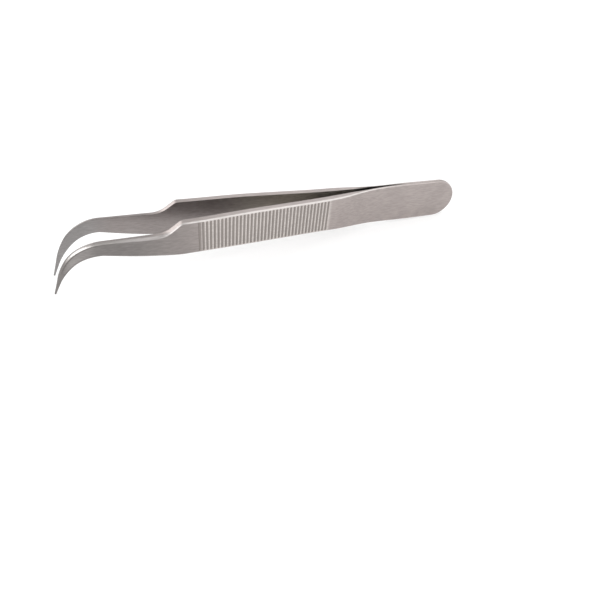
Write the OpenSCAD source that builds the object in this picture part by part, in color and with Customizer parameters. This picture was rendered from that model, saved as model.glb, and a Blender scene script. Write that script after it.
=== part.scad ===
// Angled tweezers: two sprung steel arms with hooked tips, welded together at the butt.
// The near arm is at -Y and the far arm at +Y. The pair stands on its tips and on the
// lower corner of the butt, with the butt towards +X and the tips pointing down.

/* [Overall] */
// Length along the grip, from the tips to the end of the butt
overall_length = 115.5; // [111:0.1:122]
// Length of the flat butt where the two arms lie together
butt_length = 20.5; // [17:0.1:24]

/* [Grip] */
// Width of the grip
grip_width = 10.4; // [9:0.1:11]
// Thickness of one arm at the grip
grip_thickness = 1.8; // [1.6:0.05:2.3]
// Distance from the tips to the first groove
first_groove = 38.1; // [37:0.1:39]
// Number of cross grooves on each arm
groove_count = 37; // [20:1:37]
// Distance from one groove to the next
groove_pitch = 1.01; // [0.9:0.01:1.02]
// Radius of the cutter that forms a groove
groove_radius = 0.32; // [0.25:0.01:0.38]
// Depth of a groove
groove_depth = 0.17; // [0.12:0.01:0.24]
// Distance from the rounded ends of a groove to the edges of the grip
groove_margin = 0.4; // [0.3:0.05:0.8]

/* [Spring] */
// Width of the arms at the widest place of the butt
belly_width = 11.9; // [11.8:0.1:12.5]
// Distance from the tips to the place where the grip starts to flare
flare_place = 69.5; // [62:0.5:76]
// Distance from the end of the butt to the place where it starts to narrow
belly_place = 16.7; // [12:0.1:22]
// Thickness of the leaf that bends, and of the butt
leaf_thickness = 0.75; // [0.5:0.05:0.9]
// Distance from the tips to the place where the arm starts to thin
thinning_place = 76.5; // [75:0.5:79]
// Length over which the arm thins down to the leaf
thinning_length = 13; // [9:0.5:15]
// Radius of the bend where the arms part
crotch_radius = 80; // [65:5:100]
// Angle between a relaxed arm and the middle plane
splay_angle = 4.25; // [4:0.1:5]
// Radius of the outward bow from the grip to the neck
bow_radius = 810; // [650:10:1000]
// Distance from the tips to the place where the bow starts
bow_place = 54.5; // [46:0.5:60]
// Radius of the inward bend over the hook, so that the tips meet first
tip_bend_radius = 62; // [50:1:80]
// Radius of the rounded end of the butt
butt_radius = 5.85; // [5:0.05:5.9]

/* [Neck] */
// Height of the top edge of the neck above the middle of the grip
neck_top = 1.58; // [1.4:0.01:2.2]
// Depth of the neck where the hook begins
neck_depth = 4.2; // [3.8:0.05:4.6]
// Thickness of the arm at the neck
neck_thickness = 1.3; // [1.1:0.05:1.5]
// Distance from the tips to the top of the shoulder
shoulder_place = 33.7; // [32.5:0.1:35]
// Angle of the shoulder's slope
shoulder_angle = 36.6; // [34:0.1:44]
// Radius of the hollow between the neck and the shoulder
shoulder_fillet = 6.7; // [4:0.1:7.5]
// Radius at the top of the shoulder
shoulder_round = 2; // [1:0.1:2.4]
// How far the top edge falls from the middle of the grip to the shoulder
shoulder_droop = 0.45; // [0:0.05:0.6]

/* [Hook] */
// Radius of the first arc of the hook, along its middle line
hook_radius = 10.9; // [9:0.1:12]
// Angle turned by the first arc
hook_angle = 50.5; // [46:0.5:54]
// Radius of the slower second arc
sweep_radius = 19.8; // [18:0.1:23]
// Angle of the straight points below the grip line
point_angle = 69; // [66:1:74]
// Width of the hook where the two arcs meet
hook_width = 2.7; // [2.4:0.05:3.1]
// Width where the straight points begin
point_width = 1.08; // [0.8:0.01:1.3]
// Length of the straight points
point_length = 4.6; // [3.5:0.1:5.5]
// Width of the very tip
tip_width = 0.42; // [0.3:0.01:0.55]
// Thickness of the very tip
tip_thickness = 0.4; // [0.3:0.05:0.5]

/* [Edges] */
// Width of the rounded edge round the outer face of the grip
edge_round = 0.5; // [0.3:0.05:0.6]
// Width of the rounded edge round the leaf and the butt
leaf_edge = 0.3; // [0.2:0.05:0.45]
// Width of the ground edge round the outer face of the neck and the hook
hook_bevel = 1; // [0.5:0.01:1.1]

/* [Welds] */
// Diameter of a spot weld between the arms
weld_diameter = 3.2; // [2.5:0.1:4]
// Depth that a spot weld reaches into each arm
weld_depth = 0.3; // [0.15:0.05:0.35]
// Number of spot welds
weld_count = 2; // [1:1:3]
// Distance from one spot weld to the next
weld_spacing = 6; // [5:0.1:6.2]
// Distance from the end of the butt to the first spot weld
weld_place = 6; // [5:0.1:6.5]
// Clearance round a spot weld
weld_clearance = 0.01; // [0.005:0.005:0.02]

/* [Motion] */
// Clearance across the bending line of an arm
flex_clearance = 0.05; // [0.04:0.01:0.08]

/* [Hidden] */
$fn = 48;

steel = [0.66, 0.65, 0.64];
weld_tint = [0.5, 0.48, 0.46];

grip_half = grip_width / 2;
belly_half = belly_width / 2;
crotch_x = overall_length - butt_length;
belly_x = overall_length - belly_place;
butt_centre_x = overall_length - butt_radius;

// A curve that starts and ends level, for u from 0 to 1
function ease(u) = let (v = max(0, min(1, u))) v * v * (3 - 2 * v);
function mix(a, b, u) = a + (b - a) * u;

// Where the hook starts, so that the outer corners of the tips lie at x = 0
hook_place = hook_radius * sin(hook_angle) + sweep_radius * (sin(point_angle) - sin(hook_angle))
    + point_length * cos(point_angle) + tip_width / 2 * sin(point_angle);

// How far an arc that starts at angle a and turns inwards has risen after a run d
function arc_rise(d, a, r) = r * (cos(asin(sin(a) - d / r)) - cos(a));

// Half the gap between the arms, as a bend, a straight leaf, a bow and a tip bend
bend_run = crotch_radius * sin(splay_angle);
bend_rise = crotch_radius * (1 - cos(splay_angle));
straight_run = crotch_x - bow_place - bend_run;
straight_rise = straight_run * tan(splay_angle);
bow_run = bow_place - hook_place;
bow_rise = arc_rise(bow_run, splay_angle, bow_radius);
neck_splay = asin(sin(splay_angle) - bow_run / bow_radius);

function half_gap(x) =
    x >= crotch_x ? 0 :
    x >= crotch_x - bend_run ?
        crotch_radius - sqrt(pow(crotch_radius, 2) - pow(crotch_x - x, 2)) :
    x >= bow_place ? bend_rise + (crotch_x - bend_run - x) * tan(splay_angle) :
    x >= hook_place ?
        bend_rise + straight_rise + arc_rise(bow_place - x, splay_angle, bow_radius) :
    bend_rise + straight_rise + bow_rise
        + arc_rise(hook_place - x, neck_splay, tip_bend_radius);

// Half the width of the grip, the flared leaf and the butt
function half_width(x) =
    x < belly_x ? mix(grip_half, belly_half, ease((x - flare_place) / (belly_x - flare_place))) :
    x < butt_centre_x ?
        mix(belly_half, butt_radius, ease((x - belly_x) / (butt_centre_x - belly_x))) :
    sqrt(max(0, pow(butt_radius, 2) - pow(x - butt_centre_x, 2)));

// Thickness behind the hook: neck, grip, ground hollow and leaf
function thickness(x) =
    x < shoulder_place ? mix(neck_thickness, grip_thickness,
        ease((x - hook_place) / (shoulder_place - hook_place))) :
    mix(grip_thickness, leaf_thickness, ease((x - thinning_place) / thinning_length));

// Each arm bends about the middle of its thin part
thin_x = thinning_place + thinning_length / 2;
bend_x = (thin_x + crotch_x) / 2;

// Top edge of the neck and shoulder: level, hollow, slope, rounded corner and slow rise
shoulder_half = grip_half - shoulder_droop;
hollow_run = shoulder_fillet * sin(shoulder_angle);
hollow_rise = shoulder_fillet * (1 - cos(shoulder_angle));
corner_run = shoulder_round * tan(shoulder_angle / 2);
slope_rise = shoulder_half - neck_top - hollow_rise;
hollow_x = shoulder_place - slope_rise / tan(shoulder_angle) - hollow_run;
corner_x = shoulder_place - corner_run * cos(shoulder_angle);
corner_end_x = shoulder_place + corner_run;
function top_edge(x) =
    x < hollow_x ? neck_top :
    x < hollow_x + hollow_run ?
        neck_top + shoulder_fillet - sqrt(pow(shoulder_fillet, 2) - pow(x - hollow_x, 2)) :
    x < corner_x ? shoulder_half - (shoulder_place - x) * tan(shoulder_angle) :
    x < corner_end_x ? shoulder_half - shoulder_round
        + sqrt(pow(shoulder_round, 2) - pow(corner_end_x - x, 2)) :
    half_width(x) - shoulder_droop * ease((bow_place - x) / (bow_place - corner_end_x));

// Lower edge of the neck, which swells down to the grip in a quarter sine
neck_bottom = neck_top - neck_depth;
function low_edge(x) =
    x < shoulder_place ? mix(neck_bottom, -grip_half,
        sin(90 * (x - hook_place) / (shoulder_place - hook_place))) :
    -half_width(x);

// Width of the rounded edge, which is widest on the neck and narrowest on the leaf
function edge(x) =
    x < corner_end_x ?
        mix(hook_bevel, edge_round, ease((x - hollow_x) / (corner_end_x - hollow_x))) :
    mix(edge_round, leaf_edge, ease((x - thinning_place) / thinning_length));

// A station is [x, z top, x, z bottom, thickness, width of the rounded edge]
function upright(x) = [x, top_edge(x), x, low_edge(x), thickness(x), edge(x)];

// A station across the hook, at distance half each side of a point of its middle line
function across(x, z, a, half, t, e) =
    [x - half * sin(a), z + half * cos(a), x + half * sin(a), z - half * cos(a), t, e];

hook_taper_power = 1.5;
edge_fade_power = 3;
tip_edge_share = 0.4;
hook_mid_z = (neck_top + neck_bottom) / 2;
hook_length = hook_radius * hook_angle * PI / 180;
sweep_length = sweep_radius * (point_angle - hook_angle) * PI / 180;
hooked_length = hook_length + sweep_length + point_length;
arc_x = hook_place - hook_radius * sin(hook_angle);
arc_z = hook_mid_z - hook_radius * (1 - cos(hook_angle));
sweep_x = arc_x - sweep_radius * (sin(point_angle) - sin(hook_angle));
sweep_z = arc_z - sweep_radius * (cos(hook_angle) - cos(point_angle));

// Thickness and edge at a distance along the hook's middle line
function hook_thickness(s) = mix(neck_thickness, tip_thickness, s / hooked_length);
function hook_edge(s) =
    mix(hook_bevel, tip_edge_share * tip_width, pow(s / hooked_length, edge_fade_power));

function hook_station(a) =
    let (s = hook_radius * a * PI / 180)
    across(hook_place - hook_radius * sin(a), hook_mid_z - hook_radius * (1 - cos(a)), a,
        mix(neck_depth, hook_width, pow(a / hook_angle, hook_taper_power)) / 2,
        hook_thickness(s), hook_edge(s));

function sweep_station(a) =
    let (s = hook_length + sweep_radius * (a - hook_angle) * PI / 180,
         u = (a - hook_angle) / (point_angle - hook_angle))
    across(arc_x - sweep_radius * (sin(a) - sin(hook_angle)),
        arc_z - sweep_radius * (cos(hook_angle) - cos(a)), a,
        mix(hook_width, point_width, u) / 2, hook_thickness(s), hook_edge(s));

function point_station(u) =
    let (s = hook_length + sweep_length + point_length * u)
    across(sweep_x - point_length * u * cos(point_angle),
        sweep_z - point_length * u * sin(point_angle), point_angle,
        mix(point_width, tip_width, u) / 2, hook_thickness(s), hook_edge(s));

// Steps from a to b, without a itself
function after(a, b, count) = [for (i = [1:count]) mix(a, b, i / count)];

arm_end_x = bend_x - flex_clearance / 2;
tail_start_x = bend_x + flex_clearance / 2;
arm_stations = concat(
    [point_station(1)],
    [for (u = after(1, 0, 3)) point_station(u)],
    [for (a = after(point_angle, hook_angle, 6)) sweep_station(a)],
    [for (a = after(hook_angle, 0, 12)) hook_station(a)],
    [for (x = after(hook_place, hollow_x, 16)) upright(x)],
    [for (x = after(hollow_x, hollow_x + hollow_run, 6)) upright(x)],
    [upright(corner_x)],
    [for (x = after(corner_x, corner_end_x, 3)) upright(x)],
    [for (x = after(corner_end_x, bow_place, 6)) upright(x)],
    [for (x = after(bow_place, thinning_place, 5)) upright(x)],
    [for (x = after(thinning_place, arm_end_x, 12)) upright(x)]);

end_angle = 87;
tail_stations = concat(
    [upright(tail_start_x)],
    [for (x = after(tail_start_x, crotch_x, 4)) upright(x)],
    [for (x = after(crotch_x, butt_centre_x, 7)) upright(x)],
    [for (a = after(0, end_angle, 11)) upright(butt_centre_x + butt_radius * sin(a))]);

// The eight corners of a section: flat inner face, then the rounded outer face, whose edges
// are e across and d deep and never take the whole width or the whole side
round_side = 1 - cos(45);
widest_edge_share = 0.45;
deepest_edge_share = 0.6;
function corner(s, across_u, depth) =
    let (x = mix(s[0], s[2], across_u), z = mix(s[1], s[3], across_u))
    [x, -half_gap(x) - depth, z];
function section(s) =
    let (w = norm([s[0] - s[2], s[1] - s[3]]), t = s[4],
         e = min(s[5], widest_edge_share * w), d = min(e, deepest_edge_share * t), u = e / w)
    [corner(s, 1, 0), corner(s, 0, 0),
     corner(s, 0, t - d), corner(s, u * round_side, t - d * round_side), corner(s, u, t),
     corner(s, 1 - u, t), corner(s, 1 - u * round_side, t - d * round_side), corner(s, 1, t - d)];

// A solid lofted through a list of stations
module blade(stations) {
    n = 8;
    last = len(stations) - 1;
    polyhedron(
        points = [for (s = stations) each section(s)],
        faces = concat(
            [[for (k = [0:n - 1]) k]],
            [[for (k = [n - 1:-1:0]) last * n + k]],
            [for (i = [0:last - 1]) for (k = [0:n - 1]) let (m = (k + 1) % n)
                each [[i * n + k, (i + 1) * n + k, (i + 1) * n + m],
                      [i * n + k, (i + 1) * n + m, i * n + m]]]));
}

// Round-bottomed grooves with rounded ends, across the outer face of the near arm
groove_facets = 12;
groove_half = sqrt(pow(groove_radius, 2) - pow(groove_radius - groove_depth, 2));
module grooves() {
    for (i = [0:groove_count - 1]) {
        x = first_groove + i * groove_pitch;
        reach = [top_edge(x), low_edge(x)];
        translate([x, -half_gap(x) - thickness(x) - groove_radius + groove_depth, 0])
            hull()
                for (side = [0, 1])
                    translate([0, 0, reach[side] - (1 - 2 * side) * (groove_margin + groove_half)])
                        sphere(r = groove_radius, $fn = groove_facets);
    }
}

module at_welds() {
    for (i = [0:weld_count - 1])
        translate([overall_length - weld_place - i * weld_spacing, 0, 0])
            rotate([90, 0, 0])
                children();
}

// The near arm from its tip to the line about which it bends
module arm_shape() {
    difference() {
        blade(arm_stations);
        grooves();
    }
}

// The near arm's fixed end, with the pockets of the spot welds
module tail_shape() {
    difference() {
        blade(tail_stations);
        at_welds()
            cylinder(d = weld_diameter + 2 * weld_clearance,
                h = 2 * (weld_depth + weld_clearance), center = true);
    }
}

// The pair leans so that its tips and the round of its butt touch the ground together
tip_x = sweep_x - point_length * cos(point_angle) + tip_width / 2 * sin(point_angle);
tip_z = sweep_z - point_length * sin(point_angle) - tip_width / 2 * cos(point_angle);
tip_to_butt = norm([butt_centre_x - tip_x, tip_z]);
lean = atan2(-tip_z, butt_centre_x - tip_x) - asin(butt_radius / tip_to_butt);
ground = tip_z * cos(lean) - tip_x * sin(lean);

tip_corner = point_station(1);
lean_left = tip_corner[0] * cos(lean) + tip_corner[1] * sin(lean);
lean_right = butt_centre_x * cos(lean) + butt_radius;

module stand() {
    translate([-(lean_left + lean_right) / 2, 0, -ground])
        rotate([0, lean, 0])
            children();
}

module near_tail() {
    color(steel)
        stand()
            tail_shape();
}

module far_tail() {
    color(steel)
        stand()
            mirror([0, 1, 0])
                tail_shape();
}

module weld_spots() {
    color(weld_tint)
        stand()
            at_welds()
                cylinder(d = weld_diameter, h = 2 * weld_depth, center = true);
}

module near_arm() {
    color(steel)
        stand()
            arm_shape();
}

module far_arm() {
    color(steel)
        stand()
            mirror([0, 1, 0])
                arm_shape();
}

near_tail();
far_tail();
weld_spots();
near_arm();
far_arm();
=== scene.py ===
import math
import bpy
import bmesh
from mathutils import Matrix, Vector


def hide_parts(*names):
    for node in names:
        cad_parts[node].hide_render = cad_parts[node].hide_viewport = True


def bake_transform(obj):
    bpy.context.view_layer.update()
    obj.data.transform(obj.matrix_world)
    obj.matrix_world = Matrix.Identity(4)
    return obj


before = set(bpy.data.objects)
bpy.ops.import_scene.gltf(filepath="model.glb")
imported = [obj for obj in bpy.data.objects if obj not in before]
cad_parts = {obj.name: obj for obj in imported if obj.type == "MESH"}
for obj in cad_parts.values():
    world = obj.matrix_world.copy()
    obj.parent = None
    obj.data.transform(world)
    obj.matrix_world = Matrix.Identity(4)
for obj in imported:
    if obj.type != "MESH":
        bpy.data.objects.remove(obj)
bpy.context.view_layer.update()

mm = 0.001
hair = 1e-6  # metres, the slack in finding points by their place

# Sizes of one arm in millimetres and degrees. X runs from the tips to the butt, Z is up
# across the grip, and the flat inner face lies at Y = 0 until the arm is bowed.
arm = {
    "length": 115.5,
    "gripWidth": 10.4,
    "gripThickness": 1.8,
    "blankStart": 56.8,  # the blank is drawn out both ways from here
    "buttLength": 20.5,
    "buttWidth": 11.9,
    "buttRadius": 5.85,
    "buttSteps": 36,
    "flareStart": 69.5,
    "flareEnd": 98.8,
    "thinningStart": 76.5,
    "thinningEnd": 89.5,
    "leafThickness": 0.75,
    "neckTop": 1.58,
    "neckDepth": 4.2,
    "neckThickness": 1.3,
    "shoulderPlace": 33.7,
    "shoulderAngle": 36.6,
    "shoulderFillet": 6.7,
    "shoulderRound": 2.0,
    "shoulderDroop": 0.45,
    "droopEnd": 54.5,
    "edgeRound": 0.5,
    "leafEdge": 0.3,
    "edgeDepth": 0.6,  # the most that an outer edge takes of the thickness
    "edgeSteps": 6,
    "innerEdge": 0.12,
    "seamEdge": 0.22,
    "innerSteps": 2,
    "smoothAngle": 35.0,
    "normalWeight": 80,
}

# The hook is a tight arc, a wider one and the straight point
hook = {
    "radius": 10.9,
    "angle": 50.5,
    "width": 2.7,
    "taper": 1.5,
    "arcSteps": 26,
    "sweepRadius": 19.8,
    "pointAngle": 69.0,
    "sweepSteps": 12,
    "pointWidth": 1.08,
    "pointLength": 4.6,
    "pointSteps": 8,
    "tipWidth": 0.42,
    "tipThickness": 0.4,
    "edge": 1.0,
    "edgeFade": 3.0,
    "edgeShare": 0.45,  # the most that an edge takes of the width
    "tipEdgeShare": 0.4,  # what it takes of the width at the very tip
}

# How the arms are bowed apart
bow = {"splay": 4.25, "crotchRadius": 80.0, "start": 54.5, "radius": 810.0, "tipRadius": 62.0}


def ease(u):
    u = max(0.0, min(1.0, u))
    return u * u * (3 - 2 * u)


def mix(a, b, u):
    return a + (b - a) * u


def sind(a):
    return math.sin(math.radians(a))


def cosd(a):
    return math.cos(math.radians(a))


# The rise over a run of an arc that starts at this slope and flattens
def arcRise(run, angle, radius):
    return radius * (math.cos(math.asin(sind(angle) - run / radius)) - cosd(angle))


hookPlace = (hook["radius"] * sind(hook["angle"])
             + hook["sweepRadius"] * (sind(hook["pointAngle"]) - sind(hook["angle"]))
             + hook["pointLength"] * cosd(hook["pointAngle"])
             + hook["tipWidth"] / 2 * sind(hook["pointAngle"]))
crotchPlace = arm["length"] - arm["buttLength"]
buttCentre = arm["length"] - arm["buttRadius"]
neckBottom = arm["neckTop"] - arm["neckDepth"]


# Half of the gap between the arms
def halfGap(x):
    bendRun = bow["crotchRadius"] * sind(bow["splay"])
    slope = math.tan(math.radians(bow["splay"]))
    if x >= crotchPlace:
        return 0.0
    if x >= crotchPlace - bendRun:
        return bow["crotchRadius"] - math.sqrt(bow["crotchRadius"] ** 2 - (crotchPlace - x) ** 2)
    rise = bow["crotchRadius"] * (1 - cosd(bow["splay"]))
    if x >= bow["start"]:
        return rise + (crotchPlace - bendRun - x) * slope
    rise += (crotchPlace - bendRun - bow["start"]) * slope
    if x >= hookPlace:
        return rise + arcRise(bow["start"] - x, bow["splay"], bow["radius"])
    run = bow["start"] - hookPlace
    neckSplay = math.degrees(math.asin(sind(bow["splay"]) - run / bow["radius"]))
    return (rise + arcRise(run, bow["splay"], bow["radius"])
            + arcRise(hookPlace - x, neckSplay, bow["tipRadius"]))


def halfWidth(x):
    flared = ease((x - arm["flareStart"]) / (arm["flareEnd"] - arm["flareStart"]))
    wide = mix(arm["gripWidth"], arm["buttWidth"], flared) / 2
    rounded = ease((x - arm["flareEnd"]) / (buttCentre - arm["flareEnd"]))
    return mix(wide, arm["buttRadius"], rounded)


shoulderHalf = arm["gripWidth"] / 2 - arm["shoulderDroop"]
hollowRun = arm["shoulderFillet"] * sind(arm["shoulderAngle"])
hollowRise = arm["shoulderFillet"] * (1 - cosd(arm["shoulderAngle"]))
slopeGrade = math.tan(math.radians(arm["shoulderAngle"]))
hollowStart = (arm["shoulderPlace"] - hollowRun
               - (shoulderHalf - arm["neckTop"] - hollowRise) / slopeGrade)
cornerRun = arm["shoulderRound"] * math.tan(math.radians(arm["shoulderAngle"]) / 2)
cornerStart = arm["shoulderPlace"] - cornerRun * cosd(arm["shoulderAngle"])
cornerEnd = arm["shoulderPlace"] + cornerRun


# The top edge runs along the neck, up the hollow and the slope, round the shoulder's corner,
# and on along the grip to the butt
def topEdge(x):
    if x < hollowStart:
        return arm["neckTop"]
    if x < hollowStart + hollowRun:
        fillet = arm["shoulderFillet"]
        return arm["neckTop"] + fillet - math.sqrt(fillet ** 2 - (x - hollowStart) ** 2)
    if x < cornerStart:
        return shoulderHalf - (arm["shoulderPlace"] - x) * slopeGrade
    if x < cornerEnd:
        corner = arm["shoulderRound"]
        return shoulderHalf - corner + math.sqrt(corner ** 2 - (cornerEnd - x) ** 2)
    fall = ease((arm["droopEnd"] - x) / (arm["droopEnd"] - cornerEnd))
    return halfWidth(x) - arm["shoulderDroop"] * fall


def lowEdge(x):
    if x >= arm["shoulderPlace"]:
        return -halfWidth(x)
    share = sind(90 * max(0.0, x - hookPlace) / (arm["shoulderPlace"] - hookPlace))
    return mix(neckBottom, -arm["gripWidth"] / 2, share)


# From 0 on the grip to 1 on the leaf
def thinning(x):
    return ease((x - arm["thinningStart"]) / (arm["thinningEnd"] - arm["thinningStart"]))


def thickness(x):
    if x < arm["shoulderPlace"]:
        share = ease((x - hookPlace) / (arm["shoulderPlace"] - hookPlace))
        return mix(arm["neckThickness"], arm["gripThickness"], share)
    return mix(arm["gripThickness"], arm["leafThickness"], thinning(x))


# A section is its middle, its turn about Y, its width, its thickness, how wide and how deep
# its rounded outer edges are, and the size of its small inner edges
def gripSection(x):
    top, low = topEdge(x), lowEdge(x)
    if x > cornerEnd:
        wide = mix(arm["edgeRound"], arm["leafEdge"], thinning(x))
    else:
        share = ease((x - hollowStart) / (cornerEnd - hollowStart))
        wide = mix(hook["edge"], arm["edgeRound"], share)
    return {"x": x, "z": (top + low) / 2, "turn": 0.0, "wide": top - low,
            "thick": thickness(x), "edge": wide,
            "edgeDeep": min(arm["edgeDepth"] * thickness(x), wide),
            "inner": mix(arm["innerEdge"], arm["seamEdge"], thinning(x))}


def steps(a, b, count):
    return [mix(a, b, i / count) for i in range(1, count + 1)]


def hookSections():
    radius, sweep = hook["radius"], hook["sweepRadius"]
    first, last = hook["angle"], hook["pointAngle"]
    middle = (arm["neckTop"] + neckBottom) / 2
    arcX, arcZ = hookPlace - radius * sind(first), middle - radius * (1 - cosd(first))
    sweepX = arcX - sweep * (sind(last) - sind(first))
    sweepZ = arcZ - sweep * (cosd(first) - cosd(last))
    arcRun, sweepRun = radius * math.radians(first), sweep * math.radians(last - first)
    whole = arcRun + sweepRun + hook["pointLength"]
    tipEdge = hook["tipEdgeShare"] * hook["tipWidth"]
    sections = []

    def add(x, z, turn, wide, along):
        u = along / whole
        thick = mix(arm["neckThickness"], hook["tipThickness"], u)
        edge = mix(hook["edge"], tipEdge, u ** hook["edgeFade"])
        edge = min(hook["edgeShare"] * wide, edge)
        sections.append({"x": x, "z": z, "turn": turn, "wide": wide, "thick": thick,
                         "edge": edge, "edgeDeep": min(arm["edgeDepth"] * thick, edge),
                         "inner": arm["innerEdge"]})

    for u in steps(0, 1, hook["arcSteps"]):
        a = first * u
        add(hookPlace - radius * sind(a), middle - radius * (1 - cosd(a)), a,
            mix(arm["neckDepth"], hook["width"], u ** hook["taper"]), arcRun * u)
    for u in steps(0, 1, hook["sweepSteps"]):
        a = mix(first, last, u)
        add(arcX - sweep * (sind(a) - sind(first)), arcZ - sweep * (cosd(first) - cosd(a)), a,
            mix(hook["width"], hook["pointWidth"], u), arcRun + sweepRun * u)
    for u in steps(0, 1, hook["pointSteps"]):
        along = hook["pointLength"] * u
        add(sweepX - along * cosd(last), sweepZ - along * sind(last), last,
            mix(hook["pointWidth"], hook["tipWidth"], u), arcRun + sweepRun + along)
    return sections


def choose(*pieces):
    bpy.ops.object.select_all(action="DESELECT")
    for piece in pieces:
        piece.select_set(True)
    bpy.context.view_layer.objects.active = pieces[0]


def selectOnly(piece, test):
    bpy.ops.mesh.select_all(action="DESELECT")
    mesh = bmesh.from_edit_mesh(piece.data)
    mesh.verts.index_update()
    for v in mesh.verts:
        if test(v):
            v.select = True
    mesh.select_flush_mode()
    bmesh.update_edit_mesh(piece.data, loop_triangles=False, destructive=False)


def selectedPoints(piece):
    mesh = bmesh.from_edit_mesh(piece.data)
    mesh.verts.index_update()
    return {v.index for v in mesh.verts if v.select}


# Draws the selected end face out to the next section, and brings its edges to their size
def drawOut(piece, now, to):
    middle = Vector((to["x"], 0, to["z"])) * mm
    step = Vector((to["x"] - now["x"], 0, to["z"] - now["z"])) * mm
    bpy.ops.mesh.extrude_region_move(TRANSFORM_OT_translate={"value": step})
    if to["turn"] != now["turn"]:
        bpy.ops.transform.rotate(value=math.radians(to["turn"] - now["turn"]), orient_axis="Y",
                                 center_override=middle)
    across, deep = to["wide"] / now["wide"], to["thick"] / now["thick"]
    bpy.ops.transform.resize(value=(across, deep, across), center_override=middle)
    up = Vector((-sind(to["turn"]), 0, cosd(to["turn"])))
    ring = selectedPoints(piece)
    for side in (-1, 1):
        for outer in (True, False):
            points = bmesh.from_edit_mesh(piece.data).verts
            points.ensure_lookup_table()
            acrossKey, deepKey = ("edge", "edgeDeep") if outer else ("inner", "inner")
            deepNow = now[deepKey] * deep
            low, high = (to["thick"] - deepNow, to["thick"]) if outer else (0.0, deepNow)
            group = {i for i in ring if (points[i].co - middle).dot(up) * side > 0
                     and low * mm - hair < -points[i].co.y < high * mm + hair}
            selectOnly(piece, lambda v: v.index in group)
            corner = middle + up * side * to["wide"] / 2 * mm
            corner.y = -to["thick"] * mm if outer else 0.0
            wider = to[acrossKey] / (now[acrossKey] * across)
            deeper = to[deepKey] / deepNow
            bpy.ops.transform.resize(value=(wider, deeper, wider), center_override=corner)
    selectOnly(piece, lambda v: v.index in ring)


def drawThrough(piece, start, sections):
    now = start
    for section in sections:
        drawOut(piece, now, section)
        now = section


# Where each stretch of the blank ends, and the number of sections that it is drawn out in
towardsTips = [(cornerEnd, 16), (cornerStart, 4), (hollowStart + hollowRun, 4),
               (hollowStart, 10), (hookPlace, 26)]
towardsButt = [(arm["thinningStart"], 10), (crotchPlace, 30), (buttCentre, 12)]


def gripSections(stretches):
    sections = []
    begin = arm["blankStart"]
    for end, count in stretches:
        sections += [gripSection(x) for x in steps(begin, end, count)]
        begin = end
    return sections


# The blank starts as a plane across the grip. Its corners are rounded, and it is drawn out
# to the tips and then to the butt.
def makeBlank(name):
    start = gripSection(arm["blankStart"])
    bpy.ops.mesh.primitive_plane_add(size=1, location=(start["x"] * mm, 0, start["z"] * mm),
                                     rotation=(0, math.radians(90), 0))
    blank = bpy.context.object
    blank.name = blank.data.name = name
    bpy.ops.object.transform_apply(location=True, rotation=True, scale=True)
    bpy.ops.object.mode_set(mode="EDIT")
    bpy.ops.mesh.select_all(action="SELECT")
    bpy.ops.transform.resize(value=(1, start["thick"] * mm, start["wide"] * mm))
    bpy.ops.transform.translate(value=(0, -start["thick"] / 2 * mm, 0))
    for outer in (True, False):
        selectOnly(blank, lambda v: (v.co.y < -start["thick"] / 2 * mm) == outer)
        bpy.ops.mesh.bevel(offset=start["edge" if outer else "inner"] * mm,
                           segments=arm["edgeSteps" if outer else "innerSteps"],
                           affect="VERTICES")
    bpy.ops.mesh.select_all(action="SELECT")
    drawThrough(blank, start, gripSections(towardsTips) + hookSections())
    selectOnly(blank, lambda v: abs(v.co.x - start["x"] * mm) < hair)
    drawThrough(blank, start, gripSections(towardsButt))
    return blank


# The round of the butt: the upper half of the end section is spun about the butt's middle
def roundButt(blank):
    end = buttCentre * mm
    bpy.ops.mesh.delete(type="ONLY_FACE")
    selectOnly(blank, lambda v: abs(v.co.x - end) < hair and v.co.z > 0)
    bpy.ops.mesh.spin(steps=arm["buttSteps"], angle=-math.pi, center=(end, 0, 0), axis=(0, 1, 0))
    bpy.ops.mesh.select_all(action="SELECT")
    bpy.ops.mesh.remove_doubles(threshold=hair)
    bpy.ops.mesh.fill_holes(sides=0)
    bpy.ops.mesh.select_all(action="SELECT")
    bpy.ops.mesh.normals_make_consistent(inside=False)
    bpy.ops.object.mode_set(mode="OBJECT")


grooves = {
    "first": 38.1,
    "count": 37,
    "pitch": 1.01,
    "radius": 0.32,
    "depth": 0.17,
    "margin": 0.4,  # between a groove's end and the edge of the grip
    "sides": 32,
    "endRound": 0.98,  # share of the radius
    "endSteps": 6,
    "endAngle": 60.0,
}


# A groove's cutter is a rod with rounded ends that stop short of the edges
def addCutter(x):
    radius, depth = grooves["radius"], grooves["depth"]
    ends = math.sqrt(radius ** 2 - (radius - depth) ** 2) - radius
    top, low = topEdge(x) - grooves["margin"] - ends, lowEdge(x) + grooves["margin"] + ends
    bpy.ops.mesh.primitive_cylinder_add(
        vertices=grooves["sides"], radius=radius * mm, depth=(top - low) * mm,
        location=(x * mm, -(arm["gripThickness"] + radius - depth) * mm, (top + low) / 2 * mm))
    rod = bpy.context.object
    bpy.ops.object.mode_set(mode="EDIT")
    bpy.ops.mesh.select_mode(type="EDGE")
    bpy.ops.mesh.select_all(action="DESELECT")
    bpy.ops.mesh.edges_select_sharp(sharpness=math.radians(grooves["endAngle"]))
    bpy.ops.mesh.bevel(offset=grooves["endRound"] * radius * mm, segments=grooves["endSteps"])
    bpy.ops.mesh.select_mode(type="VERT")
    bpy.ops.object.mode_set(mode="OBJECT")
    return rod


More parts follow.
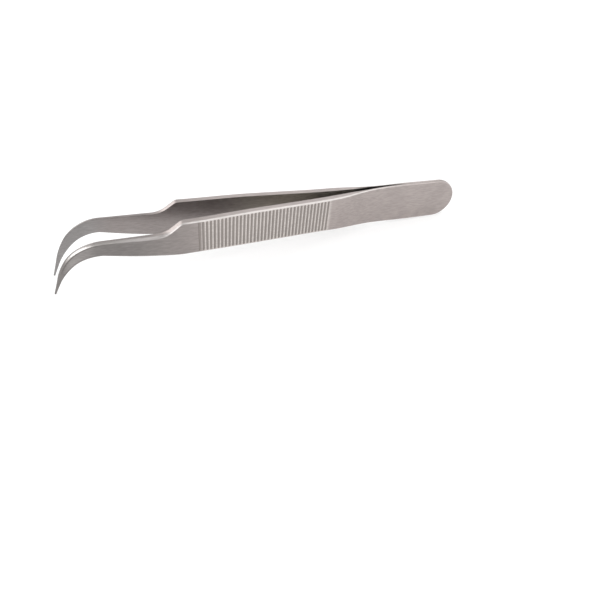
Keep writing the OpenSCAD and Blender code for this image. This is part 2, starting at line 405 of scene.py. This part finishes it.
# The cut faces take the cutter's material
def cutGrooves(blank, material):
    rods = [addCutter(grooves["first"] + i * grooves["pitch"]) for i in range(grooves["count"])]
    choose(*rods)
    bpy.ops.object.join()
    cutter = bpy.context.object
    cutter.data.materials.append(material)
    choose(blank)
    bpy.ops.object.modifier_add(type="BOOLEAN")
    cut = blank.modifiers[-1]
    cut.operation, cut.solver, cut.object = "DIFFERENCE", "EXACT", cutter
    cut.material_mode = "TRANSFER"
    bpy.ops.object.modifier_apply(modifier=cut.name)
    bpy.data.objects.remove(cutter)


# The pair leans so that its tips and the round of its butt touch the ground together, and it
# stands with its middle over the origin
tip = hookSections()[-1]
tipRight, tipUp = tip["wide"] / 2 * sind(tip["turn"]), tip["wide"] / 2 * cosd(tip["turn"])
touchX, touchZ = tip["x"] + tipRight, tip["z"] - tipUp
lean = (math.atan2(-touchZ, buttCentre - touchX)
        - math.asin(arm["buttRadius"] / math.hypot(buttCentre - touchX, touchZ)))
groundLevel = touchZ * math.cos(lean) - touchX * math.sin(lean)
leftEnd = (tip["x"] - tipRight) * math.cos(lean) + (tip["z"] + tipUp) * math.sin(lean)
rightEnd = buttCentre * math.cos(lean) + arm["buttRadius"]
standMiddle = (leftEnd + rightEnd) / 2


def bowAndStand(piece):
    for v in piece.data.vertices:
        v.co.y -= halfGap(v.co.x / mm) * mm
    choose(piece)
    piece.rotation_euler = (0, lean, 0)
    piece.location = (-standMiddle * mm, 0, -groundLevel * mm)
    bpy.ops.object.transform_apply(location=True, rotation=True, scale=True)


def smoothFaces(piece):
    choose(piece)
    bpy.ops.object.shade_smooth_by_angle(angle=math.radians(arm["smoothAngle"]))
    bpy.ops.object.modifier_add(type="WEIGHTED_NORMAL")
    weigh = piece.modifiers[-1]
    weigh.keep_sharp = True
    weigh.weight = arm["normalWeight"]
    bpy.ops.object.modifier_apply(modifier=weigh.name)


# An sRGB hex colour as linear light
def linear(hexColour):
    made = []
    for i in (0, 2, 4):
        c = int(hexColour[i:i + 2], 16) / 255
        made.append(c / 12.92 if c <= 0.04045 else ((c + 0.055) / 1.055) ** 2.4)
    return (*made, 1.0)


def newMaterial(name):
    material = bpy.data.materials.new(name)
    material.use_nodes = True
    material.node_tree.nodes.clear()
    return material


# Each input takes a value or another node's output
def addNode(tree, kind, settings=None, inputs=None):
    node = tree.nodes.new(kind)
    for key, value in (settings or {}).items():
        setattr(node, key, value)
    for key, value in (inputs or {}).items():
        if isinstance(value, bpy.types.NodeSocket):
            tree.links.new(value, node.inputs[key])
        else:
            node.inputs[key].default_value = value
    return node


# Satin steel, brushed along the arm, which shows as a faint grain. Its tones are painted light
# and shade: the outer faces carry a painted darker reflection at the neck, lighter at the hook
# and the butt, their round edges a painted highlight as far as the butt, and the lands between
# the grooves a painted highlight. A painted highlight on the hook's round edge stands for the
# mirror of a ground facet, with a painted dark border, the inner faces are painted lighter
# towards the grip, and the seam between the leaves is painted shade. Real brushing lines are
# about 0.03 mm apart and are drawn 0.28 mm apart here.
steelLook = {
    "tones": {"innerHook": "918e8d", "inner": "958e8c", "innerGrip": "c6c1bb", "seam": "2c2927",
              "hook": "979391", "neck": "7f7b79", "landHighlight": "cac3bf", "butt": "aaa19e",
              "hookEdge": "a19d9a", "facetHighlight": "bfbcba", "borderShade": "706c6a", "neckEdge": "b1acaa",
              "edge": "d5d0cd", "rim": "bab1ae"},
    "roughness": 0.33, "roughnessSpread": 0.05, "streaks": 0.22,
    "streakScale": 3600.0, "streakStretch": 0.15, "bump": 0.12}
# The grooves keep the duller, rougher surface that the cutter left, with marks 0.12 mm apart,
# and their slightly darker tone is painted shade in the grooves
grooveLook = {"colour": "958e8a", "roughness": 0.42, "roughnessSpread": 0.04, "streaks": 0.1,
              "streakScale": 8300.0, "streakStretch": 0.02, "bump": 0.0}
# Fused weld metal, dull and slightly pitted, with pits about 0.3 mm across
weldLook = {"colour": "75706c", "roughness": 0.55, "roughnessSpread": 0.08, "streaks": 0.2,
            "streakScale": 3000.0, "streakStretch": 1.0, "bump": 0.3}

# How streaks, and soft patches 6 mm across, vary each of these metals
wear = {"streakDetail": 2.0, "patchScale": 160.0, "patchDetail": 3.0, "patches": (0.75, 1.25),
        "streakRange": (0.24, 0.76), "darker": 0.75, "lighter": 0.25,
        "roughRange": (0.3, 0.7), "bumpDepth": 0.02}

# Each kind of face has a tone and others laid over it, with pairs of places in millimetres
# from the tips. These tones are painted light and shade, lighter or darker along the arm as
# the light falls on it and is mirrored there. A tone comes in from the first place of a pair
# to the second, so a pair that runs backwards takes it out again.
lastGroove = grooves["first"] + (grooves["count"] - 1) * grooves["pitch"]
paintedLightLayers = {
    "inner": ("innerHook", ("inner", (9, 18)), ("innerGrip", (42, 64))),
    "sides": ("neck", ("inner", (6, 14)), ("butt", (24, 30)), ("rim", (34, 50))),
    "edges": ("neck", ("hookEdge", (3.5, 5.5)), ("facetHighlight", (4.5, 6.5), (12, 9)),
              ("neckEdge", (14, 22)), ("edge", (31, 38)), ("rim", (86, 100))),
    "outer": ("neck", ("hook", (2, 6), (13.5, 6)), ("butt", (16, 52)),
              ("landHighlight", (grooves["first"] - grooves["pitch"] / 2, grooves["first"] + 2),
               (lastGroove + 1.4, lastGroove + 0.2))),
}
# Where the painted shade of the seam and the painted dark border of the hook's painted highlight
# lie
seamPlaces = [(82, 88), (101, 93)]
borderPlaces = [(2, 3.5), (30, 10.5)]

# The way that a face looks is 1 for the outer faces, 0 for the narrow sides and -1 for the
# inner faces, and faces that look different ways take lit and shaded tones of the one steel,
# which is painted light and shade. Each of these comes in from the first way to the second.
ways = {"sides": (-0.9, -0.5), "seam": (0.05, -0.2), "edges": (0.2, 0.45),
        "borderShade": (0.89, 0.93), "outer": (0.93, 0.975)}
borderShift = 0.02  # the border moves the outer face's limit by this


# How much of a layer shows at a value, by pairs as above
def layerShare(tree, value, pairs, share=1.0):
    for start, end in pairs:
        rise = addNode(tree, "ShaderNodeMapRange", {"interpolation_type": "SMOOTHSTEP"}, {
            "Value": value, "From Min": start, "From Max": end}).outputs["Result"]
        share = addNode(tree, "ShaderNodeMath", {"operation": "MULTIPLY"},
                        {0: share, 1: rise}).outputs["Value"]
    return share


# Lays colours over one another by their shares. A Mix node's colours are its inputs 6 and 7
# and its output 2.
def layOver(tree, colour, layers):
    for share, over in layers:
        colour = addNode(tree, "ShaderNodeMix", {"data_type": "RGBA"},
                         {0: share, 6: colour, 7: over}).outputs[2]
    return colour


# Paints light and shade into the steel's colour: a tone by the way each face looks and its place
# along the arm, painted highlights on the round edges and the lands, painted shade in the seam
# and a painted dark border on the hook
def armShade(tree, place, along, look):
    tones = {name: linear(colour) for name, colour in look["tones"].items()}
    metres = addNode(tree, "ShaderNodeSeparateXYZ", inputs={"Vector": along}).outputs["X"]
    x = addNode(tree, "ShaderNodeMath", {"operation": "DIVIDE"},
                {0: metres, 1: mm}).outputs["Value"]
    faces = {}
    for face, (base, *layers) in paintedLightLayers.items():
        faces[face] = layOver(tree, tones[base], [
            (layerShare(tree, x, pairs), tones[tone]) for tone, *pairs in layers])

    side = addNode(tree, "ShaderNodeSeparateXYZ", inputs={"Vector": place.outputs["Object"]})
    facing = addNode(tree, "ShaderNodeSeparateXYZ", inputs={"Vector": place.outputs["Normal"]})
    sign = addNode(tree, "ShaderNodeMath", {"operation": "SIGN"}, {0: side.outputs["Y"]})
    way = addNode(tree, "ShaderNodeMath", {"operation": "MULTIPLY"}, {
        0: facing.outputs["Y"], 1: sign.outputs["Value"]}).outputs["Value"]
    seam, borderShade = layerShare(tree, x, seamPlaces), layerShare(tree, x, borderPlaces)
    flat = addNode(tree, "ShaderNodeMath", {"operation": "MULTIPLY_ADD"}, {
        0: borderShade, 1: -borderShift, 2: way}).outputs["Value"]
    return layOver(tree, faces["inner"], [
        (layerShare(tree, way, [ways["sides"]]), faces["sides"]),
        (layerShare(tree, way, [ways["seam"]], seam), tones["seam"]),
        (layerShare(tree, way, [ways["edges"]]), faces["edges"]),
        (layerShare(tree, way, [ways["borderShade"]], borderShade), tones["borderShade"]),
        (layerShare(tree, flat, [ways["outer"]]), faces["outer"])])


def metal(name, look):
    material = newMaterial(name)
    tree = material.node_tree
    place = addNode(tree, "ShaderNodeTexCoord")
    away = (standMiddle * math.cos(lean) - groundLevel * math.sin(lean)) * mm
    along = addNode(tree, "ShaderNodeMapping", inputs={
        "Vector": place.outputs["Object"], "Rotation": (0, -lean, 0),
        "Location": (away, 0, 0)}).outputs["Vector"]
    colour = armShade(tree, place, along, look) if "tones" in look else linear(look["colour"])

    stretched = addNode(tree, "ShaderNodeMapping", inputs={
        "Vector": along, "Scale": (look["streakStretch"], 1, 1)}).outputs["Vector"]
    streaks = addNode(tree, "ShaderNodeTexNoise", inputs={
        "Vector": stretched, "Scale": look["streakScale"],
        "Detail": wear["streakDetail"]}).outputs["Fac"]
    patches = addNode(tree, "ShaderNodeTexNoise", inputs={
        "Vector": along, "Scale": wear["patchScale"],
        "Detail": wear["patchDetail"]}).outputs["Fac"]
    smooth = {"interpolation_type": "SMOOTHSTEP"}
    haze = addNode(tree, "ShaderNodeMapRange", smooth, {
        "Value": patches, "To Min": wear["patches"][0], "To Max": wear["patches"][1]})
    grain = addNode(tree, "ShaderNodeMath", {"operation": "MULTIPLY"}, {
        0: streaks, 1: haze.outputs["Result"]})
    worn = addNode(tree, "ShaderNodeMapRange", smooth, {
        "Value": grain.outputs["Value"],
        "From Min": wear["streakRange"][0], "From Max": wear["streakRange"][1],
        "To Min": 1 - wear["darker"] * look["streaks"],
        "To Max": 1 + wear["lighter"] * look["streaks"]})
    colour = addNode(tree, "ShaderNodeMix", {"data_type": "RGBA", "blend_type": "MULTIPLY"}, {
        0: 1.0, 6: colour, 7: worn.outputs["Result"]}).outputs[2]
    rough = addNode(tree, "ShaderNodeMapRange", smooth, {
        "Value": streaks,
        "From Min": wear["roughRange"][0], "From Max": wear["roughRange"][1],
        "To Min": look["roughness"] - look["roughnessSpread"],
        "To Max": look["roughness"] + look["roughnessSpread"]}).outputs["Result"]
    shader = addNode(tree, "ShaderNodeBsdfPrincipled", inputs={
        "Base Color": colour, "Roughness": rough, "Metallic": 1.0})
    if look["bump"]:
        bump = addNode(tree, "ShaderNodeBump", inputs={
            "Height": streaks, "Strength": look["bump"], "Distance": wear["bumpDepth"] * mm})
        tree.links.new(bump.outputs["Normal"], shader.inputs["Normal"])
    addNode(tree, "ShaderNodeOutputMaterial", inputs={"Surface": shader.outputs["BSDF"]})
    return material


satinSteel = metal("satin_stainless_steel", steelLook)
grooveSteel = metal("groove_steel", grooveLook)
weldMetal = metal("weld_metal", weldLook)
print("stage: metals made")

bpy.ops.object.select_all(action="DESELECT")
nearArm = makeBlank("near_arm_blade")
nearArm.data.materials.append(satinSteel)
roundButt(nearArm)
print("stage: blank drawn", len(nearArm.data.polygons), "faces")
cutGrooves(nearArm, grooveSteel)
print("stage: grooves cut", len(nearArm.data.polygons), "faces")
bowAndStand(nearArm)

choose(nearArm)
bpy.ops.object.duplicate()
farArm = bpy.context.object
farArm.name = farArm.data.name = "far_arm_blade"
farArm.scale = (1, -1, 1)
bpy.ops.object.transform_apply(location=True, rotation=True, scale=True)
bpy.ops.object.mode_set(mode="EDIT")
bpy.ops.mesh.select_all(action="SELECT")
bpy.ops.mesh.normals_make_consistent(inside=False)
bpy.ops.object.mode_set(mode="OBJECT")
for piece in (nearArm, farArm):
    smoothFaces(piece)
print("stage: arms bowed and mirrored")

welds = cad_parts["weld_spots"]
welds.data.materials.clear()
welds.data.materials.append(weldMetal)

# A squeezed arm would bend over its leaf, from the crotch to the middle of the thinning, but
# here each arm keeps its shape: its transform is baked into its mesh, and the CAD arm and tail
# on its side are hidden
for piece, side in ((nearArm, "near"), (farArm, "far")):
    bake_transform(piece)
    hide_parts(side + "_arm", side + "_tail")

# White paper under a white sky. The light itself falls a little short of white, and what
# they lack to it is added only where they are seen or mirrored, so shadows and colours stay.
paper = {"width": 3.0, "colour": "c8c8c8", "roughness": 0.9, "glow": 0.46}
sky = {"light": 0.92, "seen": 1.0}


def whenSeen(tree, value, lift):
    rays = addNode(tree, "ShaderNodeLightPath").outputs
    seen = rays["Is Camera Ray"]
    for kind in ("Is Glossy Ray", "Is Transmission Ray"):
        seen = addNode(tree, "ShaderNodeMath", {"operation": "MAXIMUM"},
                       {0: seen, 1: rays[kind]}).outputs["Value"]
    return addNode(tree, "ShaderNodeMath", {"operation": "MULTIPLY_ADD"},
                   {0: seen, 1: lift, 2: value}).outputs["Value"]


bpy.ops.mesh.primitive_plane_add(size=paper["width"], location=(0, 0, 0))
floor = bpy.context.object
floor.name = "floor"
floorMaterial = newMaterial("white_paper")
floorTree = floorMaterial.node_tree
floorShader = addNode(floorTree, "ShaderNodeBsdfPrincipled", inputs={
    "Base Color": linear(paper["colour"]), "Roughness": paper["roughness"],
    "Specular IOR Level": 0.0, "Emission Color": (1, 1, 1, 1),
    "Emission Strength": whenSeen(floorTree, 0.0, paper["glow"])})
addNode(floorTree, "ShaderNodeOutputMaterial", inputs={"Surface": floorShader.outputs["BSDF"]})
floor.data.materials.append(floorMaterial)

world = bpy.data.worlds.new("white_sky")
bpy.context.scene.world = world
world.use_nodes = True
background = world.node_tree.nodes["Background"]
background.inputs["Color"].default_value = (1, 1, 1, 1)
skyStrength = whenSeen(world.node_tree, sky["light"], sky["seen"] - sky["light"])
world.node_tree.links.new(skyStrength, background.inputs["Strength"])

# Soft boxes, turned towards the origin: where they hang in metres, their width and height,
# and how bright they look
softBoxes = {
    "front_right_box": {"place": (0.256, -0.502, 0.325), "size": (0.36, 0.7), "bright": 0.4},
    "left_box": {"place": (-0.441, -0.345, 0.215), "size": (0.5, 0.42), "bright": 2.3},
    "side_box": {"place": (-0.465, 0.188, 0.364), "size": (0.62, 0.36), "bright": 1.3},
    "shoulder_box": {"place": (-0.322, 0.558, 0.274), "size": (0.3, 0.28), "bright": 1.3},
    "right_top_box": {"place": (0.363, 0.013, 0.539), "size": (1, 0.44), "bright": 0.4},
}
for name, box in softBoxes.items():
    place = Vector(box["place"])
    bpy.ops.object.light_add(type="AREA", location=place,
                             rotation=place.to_track_quat("Z", "Y").to_euler())
    lamp = bpy.context.object
    lamp.name = lamp.data.name = name
    wide, high = box["size"]
    lamp.data.shape, lamp.data.size, lamp.data.size_y = "RECTANGLE", wide, high
    lamp.data.energy = box["bright"] * math.pi * wide * high
print("stage: paper, sky and lamps set")

# The camera's place and nearest view are in millimetres and its turn is in degrees
view = {"place": (-34.818, -138.017, 111.806), "turn": (46.753, -0.5437, -17.7595),
        "lens": 37.7, "sensor": 36.0, "shift": (-0.001, 0.0008), "nearest": 10.0}
bpy.ops.object.camera_add(location=Vector(view["place"]) * mm,
                          rotation=[math.radians(a) for a in view["turn"]])
camera = bpy.context.object
camera.data.lens = view["lens"]
camera.data.sensor_width = view["sensor"]
camera.data.shift_x, camera.data.shift_y = view["shift"]
camera.data.clip_start = view["nearest"] * mm
bpy.context.scene.camera = camera

bpy.context.scene.view_settings.view_transform = "Standard"

print("stage: finished")
